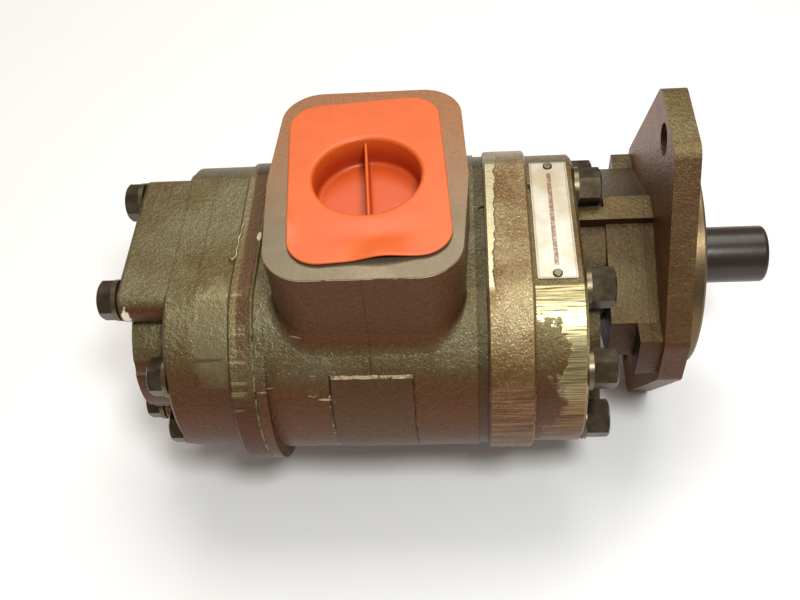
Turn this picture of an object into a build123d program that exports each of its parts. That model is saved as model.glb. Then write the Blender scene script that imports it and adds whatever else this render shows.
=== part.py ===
from build123d import *
import os
from math import acos, cos, pi, radians, sin, sqrt, tan

# Tandem gear pump in its own frame. The origin is the centre of the mounting face on the
# drive shaft's axis. +X runs out along the drive shaft, +Z faces the same way as the inlet
# port, and the driven gears lie on the -Y side of the drive gears.

# Gears
teeth = 12
gear_module = 4.5
pressure_angle = 25.0
tooth_backlash = 0.24
tooth_root_gap = 0.7
front_gear_width = 24.0
rear_gear_width = 14.1
side_clearance = 0.05
tip_clearance = 0.06

# Shafts and bearings
journal_radius = 16.0
bearing_radius = 22.0
bearing_length = 26.0
journal_end_space = 0.5
bearing_end_space = 1.5
running_clearance = 0.04
stub_root_radius = 10.6
stub_tip_radius = 12.0
stub_teeth = 10
stub_length = 22.0
spline_clearance = 0.04
coupling_radius = 18.0
coupling_bore_radius = 19.5
coupling_end_gap = 0.5
spline_root_radius = 14.2
spline_tip_radius = 15.61
spline_teeth = 14
shaft_extension = 54.2
shaft_chamfer = 1.5

# Thrust plates
plate_thickness = 5.0
plate_gap = 0.05
plate_edge_clearance = 0.1
plate_hole_clearance = 0.3
plate_relief = 1.0

# Housings, each section seen along the shaft as two half circles joined by flats
flat_reach = 46.0
flat_corner_round = 12.0
cover_radius = 62.0
carrier_radius = 63.7
front_housing_radius = 65.3
rear_housing_radius = 63.7
lip_radius = 63.9
lip_shift_y = 4.6
lip_shift_z = 4.2
cover_rim_width = 26.7
carrier_shoulder = 8.0
carrier_flange_width = 5.3
carrier_groove_width = 5.6
carrier_groove_depth = 1.0
port_cover_rim_width = 35.2
port_cover_block_length = 27.0
rim_edge_chamfer = 1.6
housing_edge_round = 1.2

# Mounting flange, two bolts
flange_thickness = 13.4
pilot_radius = 63.5
pilot_height = 9.5
pilot_chamfer = 1.2
flange_bolt_spacing = 181.0
flange_bolt_radius = 8.75
flange_bolt_edge = 15.0
ear_half_width = 25.0
ear_corner_radius = 9.0
flange_half_width = 79.5
flange_side_height = 15.0
neck_length = 43.4
drum_radius = 39.0
ledge_height = 42.0
ledge_half_width = 9.0
lug_depth = 12.0
lug_half_height = 14.5
lug_reach = 62.0
web_length = 26.0
neck_drum_radius = 37.0
driven_boss_radius = 36.0
driven_boss_height = 9.0
driven_boss_taper = 14.0
casting_round = 3.0

# Shaft seal
seal_radius = 24.0
seal_depth = 10.0
seal_recess = 4.0
seal_lip_radius = 16.06
seal_case = 1.5
seal_web = 2.5
ring_thickness = 1.6
ring_groove = 1.2
ring_inner_radius = 21.0
ring_gap = 9.0
ring_eye_radius = 1.1
ring_clearance = 0.05

# Inlet port, on the bearing carrier
inlet_bore_radius = 31.75
inlet_pad_height = 96.6
inlet_pad_length = 139.6
inlet_pad_width = 104.8
inlet_pad_waist = 4.3
inlet_pad_corner = 22.0
inlet_bolt_long = 88.9
inlet_bolt_short = 50.8
inlet_bolt_radius = 6.35
inlet_bolt_depth = 27.0
inlet_floor_height = 25.0

# Outlet ports, on the bearing carrier's far side
outlet_bore_radius = 15.9
outlet_pad_height = 72.0
outlet_pad_length = 84.0
outlet_pad_corner = 12.0
outlet_bolt_long = 58.7
outlet_bolt_short = 30.2
outlet_bolt_radius = 5.2
outlet_bolt_depth = 16.0
outlet_bolt_edge = 8.3
outlet_floor_height = 25.0

# Oil passages between the ports and the gears
inlet_passage_width = 34.0
inlet_passage_height = 11.0
outlet_passage_width = 20.0
outlet_passage_height = 11.0
mesh_window_height = 9.0

# Cast boss on the carrier's near side
side_boss_length = 43.0
side_boss_proud = 1.1
side_boss_top = 33.5
side_boss_bottom = -26.0
side_boss_depth = 14.0

# Half-round notches that the casting moulds left at the joints
notch_radius = 3.8
notch_depth = 2.2
front_notch_y = 26.7
port_notch_y = -15.2
carrier_notch_y = -9.9

# Port end cover
block_half_width = 37.8
block_boss_radius = 12.0
bearing_boss_radius = 39.5
bearing_boss_setback = 3.0
block_round = 3.0

# Cap screws
screw_radius = 6.35
screw_hole_clearance = 0.4
screw_thread_clearance = 0.05
screw_grip = 25.0
screw_end_gap = 1.0
head_flats = 19.05
front_head_height = 12.7
rear_head_height = 8.6
head_end_radius = 8.9
head_chamfer_angle = 60.0
head_turn = -10.0
head_clearance = 0.6
head_pocket_depth = 17.0
washer_radius = 11.4
washer_thickness = 2.6
inner_screw_y = 37.8
inner_screw_z = 48.4
outer_screw_y = 71.5
outer_screw_z = 23.5

# Dowels between sections
dowel_radius = 4.0
dowel_grip = 8.0
dowel_chamfer = 0.8
dowel_hole_depth = 8.3
dowel_y = 52.0
dowel_z = 45.0
dowel_clearance = 0.02

# Section seals
seal_section = 2.4
seal_groove_depth = 2.2
seal_line_radius = 39.8
seal_squeeze_gap = 0.05

# Name plate
plate_length = 87.5
plate_width = 20.6
plate_sheet = 0.8
plate_corner = 1.0
plate_shift = 3.2
plate_setback = 4.1
plate_screw_inset = 3.4
plate_screw_radius = 1.6
plate_screw_head_radius = 2.6
plate_screw_height = 1.1
plate_screw_depth = 1.4
plate_screw_clearance = 0.05

# Caps
cap_sheet = 2.0
cap_width = 82.0
cap_length = 119.0
cap_turn = 4.5
cap_corner = 15.0
cap_plug_clearance = 0.3
cap_recess_radius = 28.2
cap_recess_depth = 18.0
cap_floor = 2.0
cap_plug_round = 1.5
cap_web = 1.6
cap_seat_gap = 0.05
shaft_cap_radius = 16.5
shaft_cap_clearance = 0.1
shaft_cap_end_gap = 0.3
shaft_cap_end = 1.4
shaft_cap_round = 2.4
shaft_cap_stand_off = 1.5

# Worked out from the sizes above
gear_centres = teeth * gear_module
pitch_radius = gear_centres / 2
body_centre = -gear_centres / 2
tip_radius = pitch_radius + gear_module
root_radius = pitch_radius - gear_module - tooth_root_gap
gear_bore_radius = tip_radius + tip_clearance
ear_height = flange_bolt_spacing / 2 + flange_bolt_edge
carrier_length = inlet_pad_width + 2 * carrier_shoulder
outlet_pad_width = inlet_pad_width
outlet_spacing = outlet_pad_width - outlet_bolt_short - 2 * outlet_bolt_edge
rim_face = -(flange_thickness + neck_length)
front_joint = rim_face - cover_rim_width
front_housing_width = front_gear_width + 2 * side_clearance
carrier_front = front_joint - front_housing_width
carrier_rear = carrier_front - carrier_length
rear_housing_width = rear_gear_width + 2 * side_clearance
port_joint = carrier_rear - rear_housing_width
port_rim_face = port_joint - port_cover_rim_width
block_face = port_rim_face - port_cover_block_length
carrier_middle = (carrier_front + carrier_rear) / 2
bearing_start = plate_thickness + plate_gap
bearing_bore_depth = bearing_start + bearing_length + bearing_end_space
journal_length = bearing_bore_depth - journal_end_space
axis_spots = [(0, 0), (-gear_centres, 0)]
inner_screws = [(body_centre + sy * inner_screw_y, sz * inner_screw_z) for sy in (1, -1) for sz in (1, -1)]
outer_screws = [(body_centre + sy * outer_screw_y, sz * outer_screw_z) for sy in (1, -1) for sz in (1, -1)]
dowel_spots = [(body_centre + dowel_y, dowel_z), (body_centre - dowel_y, -dowel_z)]
inlet_top = inlet_floor_height + inlet_passage_height
outlet_top = outlet_floor_height + outlet_passage_height
spline_start = pilot_height + shaft_cap_stand_off
front_gear_face = front_joint - side_clearance
rear_gear_face = carrier_rear - side_clearance
outlet_spots = [(carrier_middle + side * outlet_spacing / 2, body_centre) for side in (1, -1)]
plate_middle = (rim_face - plate_setback - plate_width / 2, body_centre + plate_shift)
name_plate_screws = [
    (plate_middle[0], plate_middle[1] + side * (plate_length / 2 - plate_screw_inset)) for side in (1, -1)
]


def station(x):
    """The plane across the shaft at x, with its own x along +Y and its own y along +Z."""
    return Plane.YZ.offset(x)


def flat_height(radius):
    """Half the height across a section's flats: its end circles are cut where the flats end."""
    return sqrt(radius**2 - (flat_reach - gear_centres / 2) ** 2)


def section(radius, mode=Mode.ADD):
    """Draws a housing section's outline: circles about the gear axes, cut by an upper and a lower flat."""
    with BuildSketch(mode=Mode.PRIVATE) as outline:
        with Locations((body_centre, 0)):
            SlotCenterToCenter(gear_centres, 2 * radius)
            Rectangle(gear_centres + 2 * radius, 2 * flat_height(radius), mode=Mode.INTERSECT)
        fillet(outline.vertices(), flat_corner_round)
    add(outline.sketch, mode=mode)


def lipped_section():
    """Draws the rear sections' outline, which bulges past the carrier on the driven gear's lower side."""
    section(rear_housing_radius)
    with Locations((-gear_centres - lip_shift_y, -lip_shift_z)):
        Circle(lip_radius)


def notch(x, y, height):
    """Cuts the half-round notch of a joint from a flat at a height."""
    with BuildSketch(Plane.XY.offset(height)) as profile:
        with Locations((x, body_centre + y)):
            Circle(notch_radius)
    extrude(profile.sketch, amount=-notch_depth, mode=Mode.SUBTRACT)


def pad_outline(length, width, corner, waist):
    """Adds a port pad's outline, wider at its middle than at its ends by the waist on each side."""
    half_long = length / 2
    half_wide = width / 2
    with BuildSketch(mode=Mode.PRIVATE) as outline:
        with BuildLine():
            FilletPolyline(
                (half_wide, 0),
                (half_wide - waist, half_long),
                (waist - half_wide, half_long),
                (-half_wide, 0),
                (waist - half_wide, -half_long),
                (half_wide - waist, -half_long),
                radius=corner,
                close=True,
            )
        make_face()
    add(outline.sketch)


def involute_angle(angle):
    return tan(angle) - angle


def gear_outline(turn):
    """Adds a spur gear's outline: involute flanks with arcs at tip and root, turned by an angle in degrees."""
    pressure = radians(pressure_angle)
    base_radius = pitch_radius * cos(pressure)
    half_tooth = pi / (2 * teeth) - tooth_backlash / (2 * pitch_radius)

    def flank_point(radius, side, middle):
        clear = max(radius, base_radius)
        offset = half_tooth + involute_angle(pressure) - involute_angle(acos(base_radius / clear))
        angle = middle + side * offset
        return (radius * cos(angle), radius * sin(angle))

    radii = [base_radius + (tip_radius - base_radius) * step / 4 for step in range(5)]
    with BuildLine() as outline:
        for tooth in range(teeth):
            middle = radians(turn) + 2 * pi * tooth / teeth
            gap = middle + pi / teeth
            rising = [flank_point(radius, -1, middle) for radius in radii]
            falling = [flank_point(radius, 1, middle) for radius in reversed(radii)]
            next_root = flank_point(root_radius, -1, middle + 2 * pi / teeth)
            Line(flank_point(root_radius, -1, middle), rising[0])
            Spline(*rising)
            ThreePointArc(rising[-1], (tip_radius * cos(middle), tip_radius * sin(middle)), falling[0])
            Spline(*falling)
            Line(falling[-1], flank_point(root_radius, 1, middle))
            ThreePointArc(flank_point(root_radius, 1, middle), (root_radius * cos(gap), root_radius * sin(gap)), next_root)
    make_face(outline.edges())


def spline_outline(root, tip, count, gap=0.0):
    """Adds a splined shaft's outline: a circle with straight-sided teeth, grown all round by the gap."""
    tooth_width = pi * root / count
    Circle(root + gap)
    with PolarLocations((root + tip) / 2, count):
        Rectangle(tip - root + 2 * gap + 2.0, tooth_width + 2 * gap)
    with BuildSketch(mode=Mode.PRIVATE) as limit:
        Circle(tip + gap)
    add(limit.sketch, mode=Mode.INTERSECT)


def screw_holes(spots, face, depth, radius):
    """Cuts the cap screws' holes from a face towards -X."""
    with BuildSketch(station(face)) as profile:
        with Locations(*spots):
            Circle(radius)
    extrude(profile.sketch, amount=-depth, mode=Mode.SUBTRACT)


def dowel_holes(face, depth):
    """Cuts the two dowels' holes from a face, towards +X where the depth is positive."""
    with BuildSketch(station(face)) as profile:
        with Locations(*dowel_spots):
            Circle(dowel_radius + dowel_clearance)
    extrude(profile.sketch, amount=depth, mode=Mode.SUBTRACT)


def thrust_pocket(face, depth):
    """Cuts the figure of eight that holds a thrust plate, towards +X where the depth is positive."""
    with BuildSketch(station(face)) as profile:
        with Locations(*axis_spots):
            Circle(gear_bore_radius)
    extrude(profile.sketch, amount=depth, mode=Mode.SUBTRACT)


def bearing_bores(face, inward):
    """Cuts both gears' bearing bores from a face, towards +X where inward is 1."""
    with BuildSketch(station(face)) as profile:
        with Locations(*axis_spots):
            Circle(bearing_radius)
    extrude(profile.sketch, amount=inward * bearing_bore_depth, mode=Mode.SUBTRACT)


def passage_outline(width, near, height, mode=Mode.ADD):
    """Draws an oil passage's outline on the body's middle line, from a height near the gears outwards."""
    with Locations((body_centre, near + height / 2)):
        Rectangle(width, abs(height), mode=mode)


def ring_outline(width):
    """Adds the ring round both gear bores in which a section seal lies, with a given width."""
    with Locations((body_centre, 0)):
        SlotCenterToCenter(gear_centres, 2 * seal_line_radius + width)
        SlotCenterToCenter(gear_centres, 2 * seal_line_radius - width, mode=Mode.SUBTRACT)


os.makedirs("parts", exist_ok=True)

# Shaft end cover with its mounting flange
with BuildPart() as shaft_end_cover:
    with BuildSketch(station(rim_face)):
        section(cover_radius)
    extrude(amount=-cover_rim_width)
    chamfer(shaft_end_cover.edges().group_by(Axis.X)[-1], rim_edge_chamfer)
    with BuildSketch(station(rim_face)):
        Circle(neck_drum_radius)
        Rectangle(2 * ledge_half_width, 2 * ledge_height)
    extrude(amount=neck_length)
    with BuildSketch(station(-flange_thickness)):
        Circle(drum_radius)
        Rectangle(2 * lug_reach, 2 * lug_half_height)
        make_hull()
    extrude(amount=-web_length)
    with BuildSketch(station(rim_face)):
        with Locations((-gear_centres, 0)):
            Circle(driven_boss_radius)
    extrude(amount=driven_boss_height, taper=driven_boss_taper)
    with BuildSketch(station(-flange_thickness)):
        Circle(flange_half_width - casting_round)
        Rectangle(2 * flange_half_width, 2 * lug_half_height, mode=Mode.INTERSECT)
    extrude(amount=-lug_depth)
    with BuildSketch(station(-flange_thickness)):
        with BuildLine():
            FilletPolyline(
                (ear_half_width, ear_height),
                (flange_half_width, flange_side_height),
                (flange_half_width, -flange_side_height),
                (ear_half_width, -ear_height),
                (-ear_half_width, -ear_height),
                (-flange_half_width, -flange_side_height),
                (-flange_half_width, flange_side_height),
                (-ear_half_width, ear_height),
                radius=ear_corner_radius,
                close=True,
            )
        make_face()
    extrude(amount=flange_thickness)
    with BuildSketch(Plane.YZ):
        Circle(pilot_radius)
    extrude(amount=pilot_height)
    chamfer(shaft_end_cover.edges().group_by(Axis.X)[-1], pilot_chamfer)
    with BuildSketch(station(pilot_height)):
        Circle(seal_radius)
    extrude(amount=-(seal_recess + seal_depth), mode=Mode.SUBTRACT)
    with BuildSketch(station(pilot_height - seal_recess + ring_thickness)):
        Circle(seal_radius + ring_groove)
    extrude(amount=-ring_thickness, mode=Mode.SUBTRACT)
    with BuildSketch(station(pilot_height)):
        Circle(journal_radius + 1.0)
    extrude(amount=front_joint - pilot_height, mode=Mode.SUBTRACT)
    bearing_bores(front_joint, 1)
    thrust_pocket(front_joint, bearing_start)
    screw_holes(inner_screws + outer_screws, rim_face, cover_rim_width, screw_radius + screw_hole_clearance)
    dowel_holes(front_joint, dowel_hole_depth)
    notch(front_joint, front_notch_y, flat_height(cover_radius))
    with BuildSketch(station(rim_face)):
        with Locations(*inner_screws, *outer_screws):
            Circle(washer_radius + head_clearance)
    extrude(amount=head_pocket_depth, mode=Mode.SUBTRACT)
    with BuildSketch(Plane.XY.offset(flat_height(cover_radius))):
        with Locations(*name_plate_screws):
            Circle(plate_screw_radius + plate_screw_clearance)
    extrude(amount=-plate_screw_depth, mode=Mode.SUBTRACT)
    with BuildSketch(Plane.YZ):
        with GridLocations(1, flange_bolt_spacing, 1, 2):
            Circle(flange_bolt_radius)
    extrude(amount=-flange_thickness, mode=Mode.SUBTRACT)

shaft_end_cover.part.label = "shaft_end_cover"
export_step(shaft_end_cover.part, "parts/shaft_end_cover.step")

# Gear housings
def gear_housing(outline, near_face, width):
    """Builds one gear housing: its outline with the gears' bores, oil windows, seal grooves and holes."""
    with BuildPart() as housing:
        with BuildSketch(station(near_face)):
            add(outline)
        extrude(amount=-width)
        chamfer(housing.edges().filter_by(Axis.X, reverse=True), housing_edge_round)
        thrust_pocket(near_face, -width)
        with BuildSketch(station(near_face)):
            passage_outline(inlet_passage_width, mesh_window_height, inlet_top - mesh_window_height)
            passage_outline(outlet_passage_width, -mesh_window_height, mesh_window_height - outlet_top)
        extrude(amount=-width, mode=Mode.SUBTRACT)
        screw_holes(inner_screws + outer_screws, near_face, width, screw_radius + screw_hole_clearance)
        dowel_holes(near_face, -width)
        for face, inward in ((near_face, -1), (near_face - width, 1)):
            with BuildSketch(station(face)):
                ring_outline(seal_section)
            extrude(amount=inward * seal_groove_depth, mode=Mode.SUBTRACT)
    return housing.part


with BuildSketch() as front_outline:
    section(front_housing_radius)
with BuildSketch() as rear_outline:
    lipped_section()

front_gear_housing = gear_housing(front_outline.sketch, front_joint, front_housing_width)
front_gear_housing.label = "front_gear_housing"
export_step(front_gear_housing, "parts/front_gear_housing.step")

rear_gear_housing = gear_housing(rear_outline.sketch, carrier_rear, rear_housing_width)
rear_gear_housing.label = "rear_gear_housing"
export_step(rear_gear_housing, "parts/rear_gear_housing.step")

# Bearing carrier with the common inlet and an outlet for each section
with BuildPart() as bearing_carrier:
    with BuildSketch(station(carrier_front)):
        section(carrier_radius)
    extrude(amount=-carrier_length)
    with BuildSketch(Plane.XY):
        with Locations((carrier_middle, body_centre)):
            pad_outline(inlet_pad_length, inlet_pad_width, inlet_pad_corner, inlet_pad_waist)
    extrude(amount=inlet_pad_height)
    with BuildSketch(Plane.XY):
        with Locations((carrier_middle, body_centre)):
            RectangleRounded(outlet_pad_width, outlet_pad_length, outlet_pad_corner)
    extrude(amount=-outlet_pad_height)
    with BuildSketch(station(carrier_rear)):
        lipped_section()
    extrude(amount=carrier_flange_width)
    with BuildSketch(station(carrier_front)):
        section(carrier_radius + carrier_groove_depth)
        section(carrier_radius - carrier_groove_depth, mode=Mode.SUBTRACT)
    extrude(amount=-carrier_groove_width, mode=Mode.SUBTRACT)
    with BuildSketch(Plane.XZ.offset(carrier_radius - body_centre + pitch_radius + side_boss_proud)):
        with Locations((carrier_middle, (side_boss_top + side_boss_bottom) / 2)):
            Rectangle(side_boss_length, side_boss_top - side_boss_bottom)
    extrude(amount=-side_boss_depth)
    with BuildSketch(Plane.XY.offset(inlet_pad_height)):
        with Locations((carrier_middle, body_centre)):
            Circle(inlet_bore_radius)
    extrude(amount=inlet_floor_height - inlet_pad_height, mode=Mode.SUBTRACT)
    with BuildSketch(Plane.XY.offset(inlet_pad_height)):
        with Locations((carrier_middle, body_centre)):
            with GridLocations(inlet_bolt_short, inlet_bolt_long, 2, 2):
                Circle(inlet_bolt_radius)
    extrude(amount=-inlet_bolt_depth, mode=Mode.SUBTRACT)
    with BuildSketch(Plane.XY.offset(-outlet_pad_height)):
        with Locations(*outlet_spots):
            Circle(outlet_bore_radius)
    extrude(amount=outlet_pad_height - outlet_floor_height, mode=Mode.SUBTRACT)
    with BuildSketch(Plane.XY.offset(-outlet_pad_height)):
        with Locations(*outlet_spots):
            with GridLocations(outlet_bolt_short, outlet_bolt_long, 2, 2):
                Circle(outlet_bolt_radius)
    extrude(amount=outlet_bolt_depth, mode=Mode.SUBTRACT)
    with BuildSketch(station(carrier_front)):
        passage_outline(inlet_passage_width, inlet_floor_height, inlet_passage_height)
    extrude(amount=-carrier_length, mode=Mode.SUBTRACT)
    notch(carrier_front, -carrier_notch_y, flat_height(carrier_radius))
    notch(carrier_rear, carrier_notch_y, flat_height(carrier_radius))
    for face, inward, outlet in ((carrier_front, -1, outlet_spots[0]), (carrier_rear, 1, outlet_spots[1])):
        with BuildSketch(station(face)):
            passage_outline(outlet_passage_width, -outlet_floor_height, -outlet_passage_height)
        extrude(amount=inward * abs(face - outlet[0]), mode=Mode.SUBTRACT)
        bearing_bores(face, inward)
        thrust_pocket(face, inward * bearing_start)
        dowel_holes(face, inward * dowel_hole_depth)
    with BuildSketch(station(carrier_front)):
        Circle(coupling_bore_radius)
    extrude(amount=-carrier_length, mode=Mode.SUBTRACT)
    screw_holes(inner_screws + outer_screws, carrier_front, screw_grip, screw_radius + screw_thread_clearance)
    screw_holes(inner_screws + outer_screws, carrier_rear, -screw_grip, screw_radius + screw_thread_clearance)

bearing_carrier.part.label = "bearing_carrier"
export_step(bearing_carrier.part, "parts/bearing_carrier.step")

# Port end cover: a full rim, then a block with a boss over each bearing and each inner screw
with BuildPart() as port_end_cover:
    with BuildSketch(station(port_joint)):
        section(cover_radius)
    extrude(amount=-port_cover_rim_width)
    chamfer(port_end_cover.edges().group_by(Axis.X)[0], rim_edge_chamfer)
    with BuildSketch(station(block_face)):
        with Locations((body_centre, 0)):
            Rectangle(2 * block_half_width, 2 * flat_height(cover_radius))
        with Locations(*inner_screws):
            Circle(block_boss_radius)
        section(cover_radius, mode=Mode.INTERSECT)
    extrude(amount=port_cover_block_length + rim_edge_chamfer)
    fillet(port_end_cover.edges().group_by(Axis.X)[0], block_round)
    with BuildSketch(station(port_rim_face)):
        with Locations(*axis_spots):
            Circle(bearing_boss_radius)
        with Locations(*outer_screws):
            Circle(washer_radius + head_clearance, mode=Mode.SUBTRACT)
    extrude(amount=bearing_boss_setback - port_cover_block_length)
    bearing_bores(port_joint, -1)
    thrust_pocket(port_joint, -bearing_start)
    dowel_holes(port_joint, -dowel_hole_depth)
    screw_holes(inner_screws, port_joint, port_joint - block_face, screw_radius + screw_hole_clearance)
    screw_holes(outer_screws, port_joint, port_cover_rim_width, screw_radius + screw_hole_clearance)

port_end_cover.part.label = "port_end_cover"
export_step(port_end_cover.part, "parts/port_end_cover.step")


# Gears
def gear_body(face, width, turn, y):
    """Adds a gear that spans a width towards -X from its face, on the axis at y."""
    with BuildSketch(station(face)) as profile:
        with BuildSketch(mode=Mode.PRIVATE) as outline:
            gear_outline(turn)
        with Locations((y, 0)):
            add(outline.sketch)
    extrude(profile.sketch, amount=-width)


def journal(y, face, length):
    """Adds a plain journal from a face, towards +X where the length is positive."""
    with BuildSketch(station(face)) as profile:
        with Locations((y, 0)):
            Circle(journal_radius)
    extrude(profile.sketch, amount=length)


def stub(face, length):
    """Adds a splined stub for the coupling, towards +X where the length is positive."""
    with BuildSketch(station(face)) as profile:
        spline_outline(stub_root_radius, stub_tip_radius, stub_teeth)
    extrude(profile.sketch, amount=length)


drive_turn = 180.0
driven_turn = 180.0 / teeth

with BuildPart() as drive_gear_shaft:
    gear_body(front_gear_face, front_gear_width, drive_turn, 0)
    journal(0, front_gear_face, spline_start - front_gear_face)
    journal(0, front_gear_face - front_gear_width, -journal_length)
    stub(front_gear_face - front_gear_width - journal_length, -stub_length)
    with BuildSketch(station(spline_start)):
        spline_outline(spline_root_radius, spline_tip_radius, spline_teeth)
    extrude(amount=shaft_extension - spline_start - shaft_chamfer)
    with BuildSketch(station(shaft_extension - shaft_chamfer)):
        Circle(spline_root_radius)
    extrude(amount=shaft_chamfer)
    chamfer(drive_gear_shaft.edges().group_by(Axis.X)[-1], shaft_chamfer * 0.8)

drive_gear_shaft.part.label = "drive_gear_shaft"
export_step(drive_gear_shaft.part, "parts/drive_gear_shaft.step")

with BuildPart() as rear_drive_gear:
    gear_body(rear_gear_face, rear_gear_width, drive_turn, 0)
    journal(0, rear_gear_face, journal_length)
    stub(rear_gear_face + journal_length, stub_length)
    journal(0, rear_gear_face - rear_gear_width, -journal_length)

rear_drive_gear.part.label = "rear_drive_gear"
export_step(rear_drive_gear.part, "parts/rear_drive_gear.step")

for name, face, width in (
    ("front_driven_gear", front_gear_face, front_gear_width),
    ("rear_driven_gear", rear_gear_face, rear_gear_width),
):
    with BuildPart() as driven_gear:
        gear_body(face, width, driven_turn, -gear_centres)
        journal(-gear_centres, face, journal_length)
        journal(-gear_centres, face - width, -journal_length)
    driven_gear.part.label = name
    export_step(driven_gear.part, f"parts/{name}.step")

# Splined coupling between the two drive gears
coupling_front = front_gear_face - front_gear_width - journal_length - coupling_end_gap
coupling_rear = rear_gear_face + journal_length + coupling_end_gap
with BuildPart() as splined_coupling:
    with BuildSketch(station(coupling_front)):
        Circle(coupling_radius)
    extrude(amount=coupling_rear - coupling_front)
    with BuildSketch(station(coupling_front)):
        spline_outline(stub_root_radius, stub_tip_radius, stub_teeth, spline_clearance)
    extrude(amount=coupling_rear - coupling_front, mode=Mode.SUBTRACT)

splined_coupling.part.label = "splined_coupling"
export_step(splined_coupling.part, "parts/splined_coupling.step")

# Thrust plates, one on each side of each pair of gears, and the bushings behind them
plate_and_bushing_spots = [
    ("front_cover", front_joint, 1),
    ("front_carrier", carrier_front, -1),
    ("rear_carrier", carrier_rear, 1),
    ("port_cover", port_joint, -1),
]

for place, face, inward in plate_and_bushing_spots:
    with BuildPart() as thrust_plate:
        with BuildSketch(station(face)):
            with Locations(*axis_spots):
                Circle(gear_bore_radius - plate_edge_clearance)
            passage_outline(
                inlet_passage_width + 2 * plate_relief,
                inlet_floor_height - plate_relief,
                inlet_passage_height,
                mode=Mode.SUBTRACT,
            )
            passage_outline(
                outlet_passage_width + 2 * plate_relief,
                plate_relief - outlet_floor_height,
                -outlet_passage_height,
                mode=Mode.SUBTRACT,
            )
            with Locations(*axis_spots):
                Circle(journal_radius + plate_hole_clearance, mode=Mode.SUBTRACT)
        extrude(amount=inward * plate_thickness)
    thrust_plate.part.label = f"{place}_thrust_plate"
    export_step(thrust_plate.part, f"parts/{place}_thrust_plate.step")
    for line, spot in zip(("drive", "driven"), axis_spots):
        with BuildPart() as bushing:
            with BuildSketch(station(face + inward * bearing_start)):
                with Locations(spot):
                    Circle(bearing_radius)
                    Circle(journal_radius + running_clearance, mode=Mode.SUBTRACT)
            extrude(amount=inward * bearing_length)
        bushing.part.label = f"{place}_{line}_bushing"
        export_step(bushing.part, f"parts/{place}_{line}_bushing.step")

# Section seals, two for each gear housing
for place, face, inward in (
    ("front_cover_seal", front_joint, -1),
    ("front_carrier_seal", carrier_front, 1),
    ("rear_carrier_seal", carrier_rear, -1),
    ("port_cover_seal", port_joint, 1),
):
    with BuildPart() as section_seal:
        with BuildSketch(station(face)):
            ring_outline(seal_section)
        extrude(amount=inward * (seal_groove_depth - seal_squeeze_gap))
    section_seal.part.label = place
    export_step(section_seal.part, f"parts/{place}.step")

# Shaft seal and the ring that holds it
seal_face = pilot_height - seal_recess
with BuildPart() as shaft_seal:
    with BuildSketch(Plane.XY):
        with BuildLine():
            Polyline(
                (seal_face, seal_radius),
                (seal_face - seal_depth, seal_radius),
                (seal_face - seal_depth, seal_radius - seal_case),
                (seal_face - seal_web, seal_radius - seal_case),
                (seal_face - seal_web, seal_lip_radius + 2 * seal_case),
                (seal_face - seal_depth + seal_web, seal_lip_radius + seal_case),
                (seal_face - seal_depth + seal_web, seal_lip_radius),
                (seal_face, seal_lip_radius + seal_case),
                close=True,
            )
        make_face()
    revolve(axis=Axis.X)

shaft_seal.part.label = "shaft_seal"
export_step(shaft_seal.part, "parts/shaft_seal.step")

with BuildPart() as seal_retaining_ring:
    with BuildSketch(station(seal_face)):
        Circle(seal_radius + ring_groove - ring_clearance)
        Circle(ring_inner_radius, mode=Mode.SUBTRACT)
        with Locations((0, -seal_radius)):
            Rectangle(ring_gap, 2 * (seal_radius - ring_inner_radius) + 2, mode=Mode.SUBTRACT)
        with Locations((0, 0)):
            with PolarLocations((seal_radius + ring_inner_radius) / 2, 2, -112, 44, endpoint=True):
                Circle(ring_eye_radius, mode=Mode.SUBTRACT)
    extrude(amount=ring_thickness - ring_clearance)

seal_retaining_ring.part.label = "seal_retaining_ring"
export_step(seal_retaining_ring.part, "parts/seal_retaining_ring.step")

# Dowels, two through each gear housing into its neighbours
for name, face, width in (
    ("front_dowels", front_joint, front_housing_width),
    ("rear_dowels", carrier_rear, rear_housing_width),
):
    with BuildPart() as dowels:
        with BuildSketch(station(face + dowel_grip)):
            with Locations(*dowel_spots):
                Circle(dowel_radius)
        extrude(amount=-(width + 2 * dowel_grip))
        chamfer(dowels.edges(), dowel_chamfer)
    dowels.part.label = name
    export_step(dowels.part, f"parts/{name}.step")


# Cap screws and their washers
def screws(spots, seat, tip, outward, head_height):
    """Adds cap screws from the washers' outer faces at the seat to their tips, heads pointing outward."""
    with BuildSketch(station(seat)) as profile:
        with Locations(*spots):
            RegularPolygon(head_flats / 2, 6, major_radius=False, rotation=head_turn)
    extrude(profile.sketch, amount=outward * head_height)
    with BuildSketch(station(seat + outward * head_height)) as ends:
        with Locations(*spots):
            Circle(head_end_radius)
    extrude(ends.sketch, amount=-outward * head_height, taper=-head_chamfer_angle, mode=Mode.INTERSECT)
    with BuildSketch(station(seat)) as shanks:
        with Locations(*spots):
            Circle(screw_radius)
    extrude(shanks.sketch, amount=tip - seat)


def washers(spots, seat, outward):
    with BuildSketch(station(seat)) as profile:
        with Locations(*spots):
            Circle(washer_radius)
            Circle(screw_radius + screw_hole_clearance, mode=Mode.SUBTRACT)
    extrude(profile.sketch, amount=outward * washer_thickness)


front_screw_tip = carrier_front - screw_grip + screw_end_gap
rear_screw_tip = carrier_rear + screw_grip - screw_end_gap

with BuildPart() as front_cap_screws:
    screws(inner_screws + outer_screws, rim_face + washer_thickness, front_screw_tip, 1, front_head_height)

front_cap_screws.part.label = "front_cap_screws"
export_step(front_cap_screws.part, "parts/front_cap_screws.step")

with BuildPart() as front_washers:
    washers(inner_screws + outer_screws, rim_face, 1)

front_washers.part.label = "front_washers"
export_step(front_washers.part, "parts/front_washers.step")

with BuildPart() as rear_long_cap_screws:
    screws(inner_screws, block_face - washer_thickness, rear_screw_tip, -1, rear_head_height)

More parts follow.
